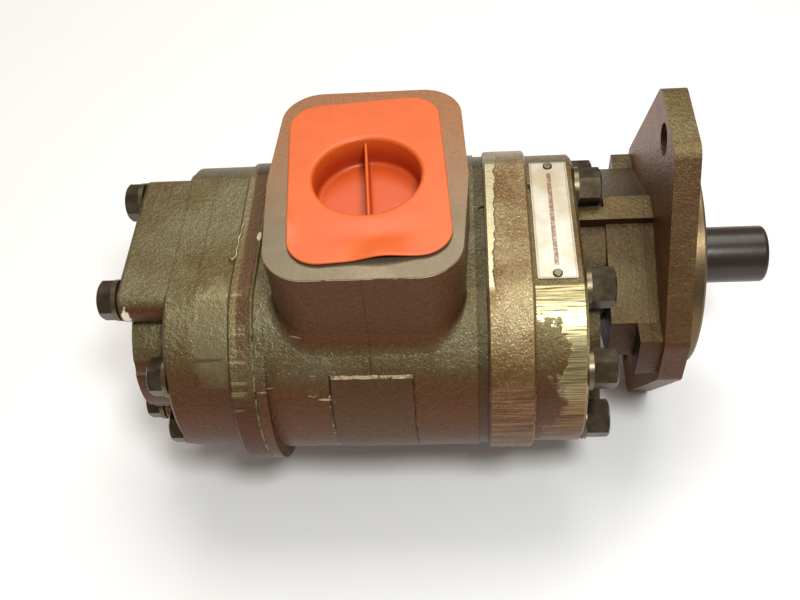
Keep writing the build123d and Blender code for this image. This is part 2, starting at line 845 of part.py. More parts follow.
rear_long_cap_screws.part.label = "rear_long_cap_screws"
export_step(rear_long_cap_screws.part, "parts/rear_long_cap_screws.step")

with BuildPart() as rear_short_cap_screws:
    screws(outer_screws, port_rim_face - washer_thickness, rear_screw_tip, -1, rear_head_height)

rear_short_cap_screws.part.label = "rear_short_cap_screws"
export_step(rear_short_cap_screws.part, "parts/rear_short_cap_screws.step")

with BuildPart() as rear_washers:
    washers(inner_screws, block_face, -1)
    washers(outer_screws, port_rim_face, -1)

rear_washers.part.label = "rear_washers"
export_step(rear_washers.part, "parts/rear_washers.step")

# Bare name plate on the shaft end cover's flat, and its drive screws
plate_seat = flat_height(cover_radius)
with BuildPart() as name_plate:
    with BuildSketch(Plane.XY.offset(plate_seat)):
        with Locations(plate_middle):
            RectangleRounded(plate_width, plate_length, plate_corner)
        with Locations(*name_plate_screws):
            Circle(plate_screw_radius + plate_screw_clearance, mode=Mode.SUBTRACT)
    extrude(amount=plate_sheet)

name_plate.part.label = "name_plate"
export_step(name_plate.part, "parts/name_plate.step")

with BuildPart() as plate_drive_screws:
    with BuildSketch(Plane.XY.offset(plate_seat + plate_sheet)):
        with Locations(*name_plate_screws):
            Circle(plate_screw_head_radius)
    extrude(amount=plate_screw_height)
    fillet(plate_drive_screws.edges().group_by(Axis.Z)[-1], plate_screw_height * 0.7)
    with BuildSketch(Plane.XY.offset(plate_seat + plate_sheet)):
        with Locations(*name_plate_screws):
            Circle(plate_screw_radius)
    extrude(amount=-(plate_sheet + plate_screw_depth))

plate_drive_screws.part.label = "plate_drive_screws"
export_step(plate_drive_screws.part, "parts/plate_drive_screws.step")


# Shipping cap in the inlet, a sheet with a webbed cup that plugs the bore
def cap_plane(height):
    """The cap's own plane at a height, turned a little about the bore as it was pressed in."""
    return Plane((carrier_middle, body_centre, height)).rotated((0, 0, cap_turn))


cap_underside = inlet_pad_height + cap_seat_gap
cap_top = cap_underside + cap_sheet
with BuildPart() as inlet_cap:
    with BuildSketch(cap_plane(cap_underside)):
        RectangleRounded(cap_width, cap_length, cap_corner)
    extrude(amount=cap_sheet)
    with BuildSketch(cap_plane(cap_underside)):
        Circle(inlet_bore_radius - cap_plug_clearance)
    extrude(amount=cap_sheet - cap_recess_depth - cap_floor)
    with BuildSketch(cap_plane(cap_top)):
        Circle(cap_recess_radius)
        Rectangle(cap_web, 2 * inlet_bore_radius, mode=Mode.SUBTRACT)
    extrude(amount=-cap_recess_depth, mode=Mode.SUBTRACT)
    fillet(inlet_cap.edges().filter_by(GeomType.CIRCLE).group_by(Axis.Z)[0], cap_plug_round)

inlet_cap.part.label = "inlet_cap"
export_step(inlet_cap.part, "parts/inlet_cap.step")

# Shipping cap over the splined shaft
shaft_cap_start = spline_start + shaft_cap_end_gap
shaft_cap_top = shaft_extension + shaft_cap_end_gap + shaft_cap_end
with BuildPart() as shaft_cap:
    with BuildSketch(station(shaft_cap_start)):
        Circle(shaft_cap_radius)
    extrude(amount=shaft_cap_top - shaft_cap_start)
    fillet(shaft_cap.edges().group_by(Axis.X)[-1], shaft_cap_round)
    with BuildSketch(station(shaft_cap_start)):
        Circle(spline_tip_radius + shaft_cap_clearance)
    extrude(amount=shaft_extension + shaft_cap_end_gap - shaft_cap_start, mode=Mode.SUBTRACT)

shaft_cap.part.label = "shaft_cap"
export_step(shaft_cap.part, "parts/shaft_cap.step")
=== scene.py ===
import bmesh
import bpy
import numpy as np
from math import cos, pi, radians, sin
from mathutils import Matrix, Vector


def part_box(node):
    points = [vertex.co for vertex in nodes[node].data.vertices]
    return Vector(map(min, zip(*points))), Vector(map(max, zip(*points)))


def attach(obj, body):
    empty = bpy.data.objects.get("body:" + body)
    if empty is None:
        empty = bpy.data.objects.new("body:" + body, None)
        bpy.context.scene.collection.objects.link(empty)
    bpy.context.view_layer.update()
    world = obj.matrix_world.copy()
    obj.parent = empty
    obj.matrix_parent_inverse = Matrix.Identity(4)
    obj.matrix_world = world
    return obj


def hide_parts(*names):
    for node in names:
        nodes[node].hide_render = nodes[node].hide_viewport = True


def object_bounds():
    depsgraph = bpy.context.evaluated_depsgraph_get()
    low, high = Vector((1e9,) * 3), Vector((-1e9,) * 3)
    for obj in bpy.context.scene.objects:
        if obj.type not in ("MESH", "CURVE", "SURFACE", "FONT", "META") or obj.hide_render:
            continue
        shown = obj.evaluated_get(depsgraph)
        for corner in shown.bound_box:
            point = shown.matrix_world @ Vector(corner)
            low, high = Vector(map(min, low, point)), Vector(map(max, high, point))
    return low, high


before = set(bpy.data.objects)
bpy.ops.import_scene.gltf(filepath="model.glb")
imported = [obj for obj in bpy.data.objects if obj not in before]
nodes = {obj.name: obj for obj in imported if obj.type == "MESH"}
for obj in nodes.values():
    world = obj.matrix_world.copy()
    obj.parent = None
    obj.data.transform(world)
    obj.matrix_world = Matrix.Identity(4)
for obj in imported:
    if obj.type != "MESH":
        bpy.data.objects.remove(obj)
cad_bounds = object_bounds()

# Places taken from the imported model, in metres
carrier_low, carrier_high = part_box("bearing_carrier")
cover_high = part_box("shaft_end_cover")[1]
front_low, front_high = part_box("front_gear_housing")
rear_low, rear_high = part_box("rear_gear_housing")
port_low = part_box("port_end_cover")[0]
cap_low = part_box("inlet_cap")[0]
plate_low, plate_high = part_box("name_plate")
body_y = (front_low[1] + front_high[1]) / 2
pad_x = (carrier_low[0] + carrier_high[0]) / 2
pad_top = carrier_high[2]

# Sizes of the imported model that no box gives, in metres
driven_y = -0.054
rim_face = front_high[0] + 0.0267
flange_back = -0.0134
carrier_radius = 0.0637
flat_half_width = 0.019
flat_height = np.sqrt(carrier_radius**2 - flat_half_width**2)
pad_half_wide = 0.0524
pad_half_long = 0.0698
pad_waist = 0.0043
pad_corner = 0.022

# Sizes of the forms made here, in metres, and the cap's turn in degrees
boss_radius = carrier_radius + 0.0009
boss_low_x = pad_x - 0.0215
boss_high_x = pad_x + 0.0215
cap_floor = cap_low[2] + 0.002
cap_half_wide = 0.041
cap_half_long = 0.0595
cap_turn = 4.5
cap_body = "inlet_cap_body"


# Material building blocks
def new_material(name):
    """A material, its shader, and two ways to build it.

    add(kind, inputs, settings) returns a new node. connect(value, socket) links a node or socket to a socket,
    or sets it to a number.
    """
    material = bpy.data.materials.new(name)
    material.use_nodes = True
    tree = material.node_tree
    shader = tree.nodes["Principled BSDF"]

    def add(kind, inputs=None, **settings):
        node = tree.nodes.new(kind)
        for key, value in settings.items():
            setattr(node, key, value)
        for key, value in (inputs or {}).items():
            connect(value, node.inputs[key])
        return node

    def connect(value, socket):
        if isinstance(value, bpy.types.NodeSocket):
            tree.links.new(value, socket)
        elif isinstance(value, bpy.types.Node):
            tree.links.new(value.outputs[0], socket)
        else:
            socket.default_value = value

    return material, shader, add, connect


def object_point(add):
    """The place of a point on the piece, in metres."""
    return add("ShaderNodeTexCoord").outputs["Object"]


def axes(add, point):
    """The three coordinates of a point, as sockets."""
    return add("ShaderNodeSeparateXYZ", {"Vector": point}).outputs


def noise(add, point, scale, detail=4.0, roughness=0.55, stretch=(1, 1, 1)):
    """Noise in object space at a scale per metre, from 0 to 1."""
    mapped = add("ShaderNodeMapping", {"Vector": point, "Scale": stretch})
    inputs = {"Vector": mapped, "Scale": scale, "Detail": detail, "Roughness": roughness}
    return add("ShaderNodeTexNoise", inputs).outputs["Fac"]


def math(add, operation, a, b=0.0):
    """One step of arithmetic on one or two values."""
    return add("ShaderNodeMath", {0: a, 1: b}, operation=operation).outputs[0]


def ramp(add, value, low, high):
    """0 at low and 1 at high, smooth between and held beyond; low may be the larger."""
    inputs = {"Value": value, "From Min": low, "From Max": high}
    return add("ShaderNodeMapRange", inputs, interpolation_type="SMOOTHSTEP").outputs["Result"]


def spread(add, value, low, high, first, last):
    """The value carried evenly from the range low to high onto first to last, held at both ends."""
    inputs = {"Value": value, "From Min": low, "From Max": high, "To Min": first, "To Max": last}
    return add("ShaderNodeMapRange", inputs).outputs["Result"]


def sway(add, point, scale, reach):
    """Noise about zero, half its reach to either side, to make an edge ragged."""
    return both(add, math(add, "SUBTRACT", noise(add, point, scale, 4, 0.6), 0.5), reach)


def srgb(red, green, blue):
    """A linear colour from the 0 to 255 values that a screen shows."""
    parts = np.array([red, green, blue]) / 255
    return tuple(np.where(parts <= 0.04045, parts / 12.92, ((parts + 0.055) / 1.055) ** 2.4))


def blend_colour(add, factor, first, second):
    """The first colour where the factor is 0 and the second where it is 1."""
    node = add("ShaderNodeMix", {"Factor": factor}, data_type="RGBA")
    for socket, colour in ((node.inputs[6], first), (node.inputs[7], second)):
        if isinstance(colour, bpy.types.NodeSocket):
            node.id_data.links.new(colour, socket)
        else:
            socket.default_value = (*colour, 1)
    return node.outputs[2]


def tint(add, colour, mask, shade, strength=1.0):
    """The colour with a shade, given as a screen shows it, laid over it where the mask is 1."""
    factor = both(add, mask, strength) if strength < 1 else mask
    return blend_colour(add, factor, colour, srgb(*shade))


def bump(add, height, distance, strength):
    """The surface's normal, tilted as if it rose and fell with the height, by up to a distance in metres."""
    inputs = {"Height": height, "Distance": distance, "Strength": strength}
    return add("ShaderNodeBump", inputs).outputs["Normal"]


# Masks in object space, each 0 to 1
def both(add, *masks):
    """The product of masks, and of plain strengths: 1 only where all of them are."""
    product = masks[0]
    for mask in masks[1:]:
        product = math(add, "MULTIPLY", product, mask)
    return product


def either(add, *masks):
    """The largest of masks."""
    largest = masks[0]
    for mask in masks[1:]:
        largest = math(add, "MAXIMUM", largest, mask)
    return largest


def between(add, value, start, full, fade, end):
    """0 up to start, 1 from full to fade, and 0 again past end."""
    return both(add, ramp(add, value, start, full), ramp(add, value, end, fade))


def along(add, point, axis, low, high, soft=0.0004):
    """1 between two places on an axis, with soft ends."""
    return between(add, axes(add, point)[axis], low - soft, low + soft, high - soft, high + soft)


def facing(add, axis, low, high):
    """0 where the surface's normal has low as its part along an axis, 1 at high; low may be the larger."""
    normal = add("ShaderNodeNewGeometry").outputs["Normal"]
    return ramp(add, axes(add, normal)[axis], low, high)


def blot(add, point, centre, size, ragged, scale, edge=0.16):
    """1 inside an ellipsoid round a centre, whose edge noise makes ragged."""
    shift = add("ShaderNodeVectorMath", {0: point, 1: centre}, operation="SUBTRACT")
    squeeze = add("ShaderNodeVectorMath", {0: shift, 1: size}, operation="DIVIDE")
    reach = add("ShaderNodeVectorMath", {0: squeeze}, operation="LENGTH").outputs["Value"]
    return ramp(add, math(add, "ADD", reach, sway(add, point, scale, 2 * ragged)), 1 + edge, 1 - edge)


def grinding(add, point, fine):
    """Grinding lines that run along X: noise stretched far along that axis."""
    return noise(add, point, fine, 3, 0.6, (0.022, 1, 1))


# Cast iron
def cast_iron(name, base, low, pale, gloss, marks):
    """Sand-cast iron: an oily grained skin, olive brown on top, with red brown painted shade on its lower
    sides.

    The base colour turns to the low one as the surface turns away from above, a painted shade; large soft
    patches, stains and the grain's own pits and crests vary it, and on upward faces the patches and crests
    are laid in the pale colour as a painted highlight. marks(add, point, colour) lays ground, machined or
    painted places over it, and returns the colour, how smooth they are, and how metallic, or None where they
    are no more so than the skin.
    """
    skin_metallic = 0.55
    material, shader, add, connect = new_material("cast_iron_" + name)
    point = object_point(add)
    grain = noise(add, point, 980, 3, 0.65)
    clumps = noise(add, point, 380, 3, 0.55)
    patches = ramp(add, noise(add, point, 22, 4, 0.55), 0.38, 0.66)
    stains = ramp(add, noise(add, point, 60, 5, 0.65), 0.5, 0.72)
    pits = ramp(add, grain, 0.5, 0.3)
    crests = ramp(add, grain, 0.55, 0.72)
    level = axes(add, add("ShaderNodeNewGeometry").outputs["Normal"])[2]
    # Painted shade: faces turned away from above take the low colour.
    top = ramp(add, math(add, "ADD", level, both(add, clumps, 0.24)), 0.42, 0.98)
    colour = blend_colour(add, top, srgb(*low), srgb(*base))
    # Painted highlight: patches and grain crests on upward faces take the pale colour.
    colour = tint(add, colour, both(add, top, patches), pale, 0.3)
    colour = tint(add, colour, stains, low, 0.25)
    colour = tint(add, colour, pits, [part * 0.5 for part in low], 0.5)
    colour = tint(add, colour, both(add, top, crests), pale, 0.4)
    colour, smooth, metal = marks(add, point, colour)
    connect(colour, shader.inputs["Base Color"])
    relief = math(add, "ADD", both(add, grain, 0.7), clumps)
    relief = both(add, relief, math(add, "SUBTRACT", 1.0, both(add, smooth, 0.97)))
    connect(bump(add, relief, 0.0011, 0.62), shader.inputs["Normal"])
    connect(spread(add, grain, 0.3, 0.7, gloss + 0.1, gloss - 0.08), shader.inputs["Roughness"])
    if metal is None:
        shader.inputs["Metallic"].default_value = skin_metallic
    else:
        connect(either(add, metal, skin_metallic), shader.inputs["Metallic"])
    shader.inputs["Specular IOR Level"].default_value = 0.36
    return material


def ground_rim(add, point):
    """Where the shaft end cover's rim is ground on the near side, and the ground metal's colour.

    The grinding leaves out three ragged places and the narrow gaps between its lines. It is straw above, with
    a painted shade darkening it to brown below.
    """
    left = front_high[0]
    lines = grinding(add, point, 1500)
    height = axes(add, point)[2]
    rim = both(add, facing(add, 1, -0.03, -0.14), along(add, point, 0, left + 0.0002, rim_face + 0.0004))
    ragged_height = math(add, "ADD", height, both(add, noise(add, point, 90, 4, 0.6), 0.012))
    below_plate = ramp(add, ragged_height, 0.0690, 0.0665)
    bare = blot(add, point, (left + 0.0050, -0.0980, 0.0405), (0.0120, 0.04, 0.0115), 0.55, 190, 0.1)
    dull = blot(add, point, (left + 0.0020, -0.1120, 0.0140), (0.0125, 0.04, 0.0190), 0.5, 190, 0.14)
    foot = blot(add, point, (left, -0.1150, -0.0140), (0.0050, 0.04, 0.0120), 0.6, 190, 0.2)
    untouched = math(add, "SUBTRACT", 1.0, either(add, bare, dull, foot))
    ground = both(add, rim, below_plate, untouched, ramp(add, lines, 0.26, 0.40))
    bright = ramp(add, lines, 0.38, 0.66)
    straw = blend_colour(add, bright, srgb(132, 116, 78), srgb(200, 190, 146))
    # Painted shade: the ground metal turns from straw to a darker brown towards the bottom of the rim.
    ground_low_shade = blend_colour(add, bright, srgb(84, 54, 30), srgb(140, 106, 68))
    return ground, blend_colour(add, ramp(add, height, 0.044, 0.0), straw, ground_low_shade)


def cover_marks(add, point, colour):
    """The shaft end cover: a ground rim, a neck in painted shade, a seam, a turned pilot, a flange back in
    painted reflection.
    """
    x, y, z = axes(add, point)
    ground, ground_colour = ground_rim(add, point)
    colour = blend_colour(add, ground, colour, ground_colour)
    # Painted shade on the neck below its ledge, strongest just under it; the ledge's upward faces stay out of
    # it.
    neck = along(add, point, 0, rim_face + 0.001, flange_back - 0.0016, 0.002)
    off_top = either(add, facing(add, 2, 0.97, 0.8), ramp(add, z, 0.0420, 0.0370))
    shade_depth = math(add, "ADD", both(add, ramp(add, z, 0.020, 0.046), 0.3), 0.42)
    colour = tint(add, colour, both(add, neck, ramp(add, z, 0.0500, 0.0440), off_top, shade_depth), (44, 26, 14))
    seam_x = flange_back - 0.0052
    seam = both(add, along(add, point, 0, seam_x - 0.0002, seam_x + 0.0002, 0.0001), ramp(add, y, 0.0, -0.01))
    colour = tint(add, colour, seam, (40, 26, 16), 0.7)
    pilot = math(add, "GREATER_THAN", x, 0.0002)
    rings = noise(add, point, 700, 2, 0.5, (1.0, 0.08, 0.08))
    turned = blend_colour(add, rings, srgb(90, 74, 50), srgb(120, 102, 74))
    colour = blend_colour(add, pilot, colour, turned)
    # Painted reflection: the flange's back, turned away along X, is laid in reddish brown.
    back = both(add, facing(add, 0, -0.4, -0.8), along(add, point, 0, flange_back - 0.0008, 0.0))
    back_reflection = blend_colour(add, ramp(add, noise(add, point, 90), 0.3, 0.7), srgb(150, 96, 56), srgb(118, 76, 46))
    colour = blend_colour(add, both(add, back, 0.8), colour, back_reflection)
    smooth = either(add, ground, pilot)
    return colour, smooth, both(add, smooth, 0.85)


def front_marks(add, point, colour):
    """The front gear housing: a filed straw stripe at its left edge and a scuffed patch low on its near side.

    The stripe's edge leans with Y and sways.
    """
    x, y = axes(add, point)[:2]
    lines = grinding(add, point, 1500)
    place = math(add, "ADD", x, sway(add, point, 130, 0.006))
    edge = math(add, "ADD", both(add, y, 0.034), front_low[0] + 0.0062)
    left_of_edge = ramp(add, math(add, "SUBTRACT", place, edge), 0.0006, -0.0006)
    on_top = both(add, along(add, point, 1, -0.075, 0.030, 0.004), facing(add, 2, 0.5, 0.9))
    stripe = both(add, left_of_edge, on_top)
    straw = blend_colour(add, lines, srgb(150, 136, 100), srgb(216, 206, 170))
    colour = blend_colour(add, stripe, colour, straw)
    scuff = blot(add, point, (-0.0955, -0.1150, 0.0040), (0.02, 0.02, 0.026), 0.35, 150, 0.15)
    scuff = both(add, scuff, ramp(add, lines, 0.42, 0.55))
    colour = tint(add, colour, scuff, (134, 100, 66), 0.75)
    return colour, either(add, stripe, both(add, scuff, 0.6)), both(add, stripe, 0.8)


def boss_marks(add, point, colour):
    """The cast rectangle on the carrier's side: a darker face, a pale line above, painted shade along its
    chipped side edges.
    """
    x, y, z = axes(add, point)
    from_axis = add("ShaderNodeVectorMath", {0: point, 1: (0, driven_y, 0)}, operation="SUBTRACT")
    from_axis = add("ShaderNodeVectorMath", {0: from_axis, 1: (0, 1, 1)}, operation="MULTIPLY")
    radius = add("ShaderNodeVectorMath", {0: from_axis}, operation="LENGTH").outputs["Value"]
    proud = ramp(add, radius, boss_radius - 0.0005, boss_radius - 0.0002)
    near = ramp(add, y, driven_y, driven_y - 0.01)
    face = both(add, along(add, point, 0, boss_low_x - 0.001, boss_high_x + 0.001), proud)
    colour = tint(add, colour, both(add, face, ramp(add, z, 0.037, 0.036), near), (84, 56, 34), 0.7)

    ragged_z = math(add, "ADD", z, sway(add, point, 260, 0.0014))
    above = both(add, between(add, ragged_z, 0.0329, 0.0332, 0.0338, 0.0341), near)
    above = both(add, above, along(add, point, 0, boss_low_x, boss_high_x))
    above = both(add, above, ramp(add, noise(add, point, 150, 3, 0.6), 0.36, 0.5))
    colour = tint(add, colour, above, (222, 206, 168), 0.8)

    ragged_x = math(add, "ADD", x, sway(add, point, 230, 0.0026))
    beside = both(add, between(add, z, -0.027, -0.026, 0.0335, 0.0345), near)

    def upright(edge, start, full, fade, end):
        """A ragged line beside an upright edge, from and to places told from that edge."""
        return both(add, between(add, ragged_x, edge + start, edge + full, edge + fade, edge + end), beside)

    # Painted shade: dark ragged lines along the rectangle's side edges, the wider one on the left where its
    # step casts a shadow.
    left_edge_shadow = upright(boss_low_x, -0.0013, -0.0008, -0.0001, 0.0004)
    right_edge_shade = upright(boss_high_x, -0.0002, 0.0, 0.0004, 0.0006)
    lines = either(add, both(add, left_edge_shadow, 0.9), both(add, right_edge_shade, 0.7))
    colour = tint(add, colour, lines, (38, 24, 14))
    chip = upright(boss_low_x, -0.0020, -0.0016, -0.0012, -0.0008)
    chip = both(add, chip, ramp(add, noise(add, point, 190, 4, 0.6), 0.54, 0.6))
    return tint(add, colour, chip, (212, 196, 158), 0.7)


def carrier_marks(add, point, colour):
    """The bearing carrier: its boss, a painted shadow by its front step, pale scratches, a seam, and a milled
    pad whose burred rim has a painted highlight.
    """
    y, z = axes(add, point)[1:3]
    colour = boss_marks(add, point, colour)
    # Painted shadow: a dark band on the carrier beside the step at its front end.
    step_shadow = along(add, point, 0, carrier_high[0] - 0.0056, carrier_high[0] + 0.001, 0.0003)
    colour = tint(add, colour, step_shadow, (52, 42, 24), 0.55)
    scratches = ramp(add, noise(add, point, 170, 3, 0.6, (0.4, 1.0, 2.6)), 0.655, 0.69)
    scratched = blot(add, point, (-0.2060, -0.1080, 0.0330), (0.026, 0.03, 0.02), 0.3, 100)
    fleck = blot(add, point, (-0.2234, -0.1101, 0.0417), (0.0007, 0.002, 0.0026), 0.2, 600)
    pale_mark = either(add, both(add, scratches, scratched, 0.5), both(add, fleck, 0.9))
    colour = tint(add, colour, pale_mark, (214, 200, 160))
    seam = along(add, point, 0, pad_x - 0.0002, pad_x + 0.0002, 0.0001)
    seam = both(add, seam, ramp(add, y, -0.090, -0.094), ramp(add, z, 0.0335, 0.0345))
    colour = tint(add, colour, seam, (40, 24, 14), 0.75)
    # Painted highlight: a pale broken line along the milled pad's rim, which is burred.
    rim = along(add, point, 2, pad_top - 0.0009, pad_top + 0.001, 0.0002)
    burr_highlight = both(add, rim, ramp(add, noise(add, point, 120, 3), 0.36, 0.5))
    colour = tint(add, colour, burr_highlight, (236, 222, 190), 0.75)

    pad = along(add, point, 2, pad_top - 0.0005, pad_top + 0.01, 0.0002)
    cloud = both(add, noise(add, point, 40, 4, 0.55), 0.8)
    faint = both(add, noise(add, point, 900, 2, 0.5), 0.2)
    cloudy = ramp(add, math(add, "ADD", cloud, faint), 0.35, 0.65)
    milled = blend_colour(add, cloudy, srgb(112, 100, 80), srgb(124, 112, 90))
    milled = tint(add, milled, ramp(add, y, body_y - 0.055, body_y + 0.06), (164, 116, 82))
    return blend_colour(add, pad, colour, milled), pad, None


def rear_marks(add, point, colour):
    """The rear gear housing: a smooth brown band, filing, a painted highlight along its edge at the carrier
    and a fleck of paint.
    """
    band = along(add, point, 0, rear_low[0] + 0.0042, rear_high[0] - 0.002, 0.0012)
    band = both(add, band, facing(add, 2, 0.5, 0.95))
    colour = tint(add, colour, band, (82, 52, 30), 0.85)
    filed = blot(add, point, (-0.2385, -0.0980, 0.0440), (0.006, 0.03, 0.04), 0.5, 150)
    filed = both(add, filed, ramp(add, grinding(add, point, 420), 0.52, 0.62))
    colour = tint(add, colour, filed, (190, 178, 130), 0.3)
    # Painted highlight: a pale broken line along the housing's edge where it meets the carrier, on the near
    # side.
    joint_highlight = along(add, point, 0, rear_high[0] - 0.0012, rear_high[0] - 0.0004, 0.0002)
    joint_highlight = both(add, joint_highlight, ramp(add, axes(add, point)[1], -0.084, -0.094))
    joint_highlight = both(add, joint_highlight, ramp(add, noise(add, point, 240, 4, 0.6), 0.36, 0.56))
    colour = tint(add, colour, joint_highlight, (186, 184, 146), 0.6)
    fleck = blot(add, point, (-0.2306, -0.0320, 0.0600), (0.0012, 0.0032, 0.02), 0.25, 500)
    return tint(add, colour, fleck, (222, 208, 168)), both(add, band, 0.5), None


def port_marks(add, point, colour):
    """The port end cover: two dark moulding lines, worn and filed places, and a blob of white paint."""
    first_line = along(add, point, 0, -0.2768, -0.2758, 0.0005)
    second_line = along(add, point, 0, -0.2616, -0.2606, 0.0005)
    lines = both(add, either(add, first_line, second_line), facing(add, 2, 0.6, 0.95))
    colour = tint(add, colour, lines, (70, 52, 34), 0.4)
    worn = blot(add, point, (-0.2500, -0.0880, 0.0500), (0.012, 0.026, 0.026), 0.4, 120, 0.3)
    colour = tint(add, colour, worn, (170, 162, 128), 0.3)
    filed = blot(add, point, (-0.2535, -0.1060, 0.0300), (0.0085, 0.022, 0.034), 0.3, 150, 0.2)
    filed = both(add, filed, ramp(add, grinding(add, point, 430), 0.56, 0.6))
    colour = tint(add, colour, filed, (66, 54, 30), 0.6)
    paint = blot(add, point, (-0.3002, -0.0768, 0.0476), (0.0021, 0.004, 0.0060), 1.3, 420, 0.08)
    return tint(add, colour, paint, (232, 220, 196)), both(add, either(add, worn, paint), 0.5), None


# Finishes of the other pieces
def steel(name, shade, roughness):
    """Turned or ground steel: fine scratches across a slightly uneven shade."""
    material, shader, add, connect = new_material(name)
    point = object_point(add)
    cloud = ramp(add, noise(add, point, 120), 0.3, 0.75)
    scratch = noise(add, point, 900, 2, 0.6, (3.0, 1.0, 1.0))
    colour = blend_colour(add, cloud, srgb(*shade), srgb(*[part * 0.8 for part in shade]))
    connect(colour, shader.inputs["Base Color"])
    connect(bump(add, scratch, 0.0001, 0.3), shader.inputs["Normal"])
    connect(spread(add, scratch, 0, 1, roughness * 0.75, roughness * 1.3), shader.inputs["Roughness"])
    shader.inputs["Metallic"].default_value = 1.0
    return material


def black_oxide(name, lift):
    """Screw steel: an oily black skin, paler by a factor, a little browned, rubbed where it was gripped."""
    material, shader, add, connect = new_material(name)
    point = object_point(add)
    rubbed = ramp(add, noise(add, point, 160, 3, 0.5), 0.3, 0.75)
    browned = ramp(add, noise(add, point, 110, 4, 0.6), 0.4, 0.75)
    dark, pale = [srgb(*[part * lift for part in shade]) for shade in ((74, 64, 50), (92, 84, 66))]
    colour = tint(add, blend_colour(add, rubbed, dark, pale), browned, (84, 58, 38), 0.35)
    connect(colour, shader.inputs["Base Color"])
    connect(bump(add, noise(add, point, 1200, 3), 0.0002, 0.3), shader.inputs["Normal"])
    connect(spread(add, rubbed, 0, 1, 0.3, 0.42), shader.inputs["Roughness"])
    shader.inputs["Metallic"].default_value = 0.8
    return material


def from_middle(add, value, low, high):
    """How far a coordinate lies from the middle of a range."""
    return math(add, "ABSOLUTE", math(add, "SUBTRACT", value, (low + high) / 2))


def plate_metal():
    """Thin bare aluminium: satin, cream where dulled, with a worn strip down its middle and a fine border."""
    material, shader, add, connect = new_material("plate_metal")
    point = object_point(add)
    x, y = axes(add, point)[:2]
    half_wide = (plate_high[0] - plate_low[0]) / 2
    half_long = (plate_high[1] - plate_low[1]) / 2
    across = from_middle(add, x, plate_low[0], plate_high[0])
    length = from_middle(add, y, plate_low[1], plate_high[1])
    cloud = ramp(add, noise(add, point, 50, 3), 0.3, 0.7)
    brush = noise(add, point, 900, 2, 0.5, (1.0, 0.06, 1.0))
    tone = math(add, "ADD", both(add, cloud, 0.7), both(add, brush, 0.3))
    colour = blend_colour(add, tone, srgb(206, 204, 194), srgb(176, 160, 128))
    strip = ramp(add, across, 0.0014, 0.0010)
    strip = both(add, strip, ramp(add, length, half_long - 0.0085, half_long - 0.0095))
    worn = ramp(add, noise(add, point, 420, 4, 0.7), 0.34, 0.6)
    worn = math(add, "ADD", both(add, worn, 0.5), 0.35)
    colour = tint(add, colour, both(add, strip, worn), (112, 74, 44))
    side_line = ramp(add, across, half_wide - 0.0013, half_wide - 0.0010)
    end_line = ramp(add, length, half_long - 0.0013, half_long - 0.0010)
    inside = either(add, ramp(add, across, half_wide - 0.0003, half_wide - 0.0006), 0.3)
    colour = tint(add, colour, both(add, either(add, side_line, end_line), inside), (108, 84, 54), 0.45)
    connect(colour, shader.inputs["Base Color"])
    connect(bump(add, brush, 0.0001, 0.3), shader.inputs["Normal"])
    shader.inputs["Roughness"].default_value = 0.36
    shader.inputs["Metallic"].default_value = 0.6
    return material


def cap_plastic():
    """Soft orange plastic of the inlet cap: faintly mottled and specked, with a deeper red painted shade down
    in its cup.
    """
    material, shader, add, connect = new_material("cap_plastic")
    point = object_point(add)
    z = axes(add, point)[2]
    cloud = ramp(add, noise(add, point, 45), 0.3, 0.7)
    colour = blend_colour(add, cloud, srgb(220, 98, 34), srgb(212, 90, 28))
    # Painted shade: the cup's sides below the pad top, and all of the cup the deeper it goes, are laid in
    # deeper red.
    wall = both(add, ramp(add, z, pad_top + 0.001, pad_top - 0.012), facing(add, 2, 0.7, 0.2))
    colour = tint(add, colour, wall, (150, 36, 16), 0.75)
    colour = tint(add, colour, ramp(add, z, pad_top - 0.002, pad_top - 0.014), (176, 48, 14), 0.3)
    specks = ramp(add, noise(add, point, 700, 2), 0.7, 0.78)
    colour = tint(add, colour, specks, (255, 170, 120), 0.3)
    connect(colour, shader.inputs["Base Color"])
    connect(bump(add, noise(add, point, 160, 3), 0.0004, 0.2), shader.inputs["Normal"])
    shader.inputs["Roughness"].default_value = 0.4
    shader.inputs["Subsurface Weight"].default_value = 0.1
    shader.inputs["Subsurface Radius"].default_value = (0.004, 0.0012, 0.0006)
    return material


def gloss_black():
    """Glossy black plastic of the shaft cap, with faint moulding waves."""
    material, shader, add, connect = new_material("gloss_black")
    wave = noise(add, object_point(add), 70, 3)
    connect(blend_colour(add, wave, srgb(34, 22, 16), srgb(50, 34, 26)), shader.inputs["Base Color"])
    connect(bump(add, wave, 0.0006, 0.25), shader.inputs["Normal"])
    shader.inputs["Roughness"].default_value = 0.3
    shader.inputs["Specular IOR Level"].default_value = 0.5
    return material


def seal_rubber():
    """Matt black rubber with a little dust."""
    material, shader, add, connect = new_material("seal_rubber")
    point = object_point(add)
    dust = ramp(add, noise(add, point, 300), 0.45, 0.8)
    connect(blend_colour(add, dust, srgb(20, 19, 18), srgb(46, 42, 38)), shader.inputs["Base Color"])
    connect(bump(add, noise(add, point, 1800, 2), 0.0001, 0.4), shader.inputs["Normal"])
    shader.inputs["Roughness"].default_value = 0.7
    return material


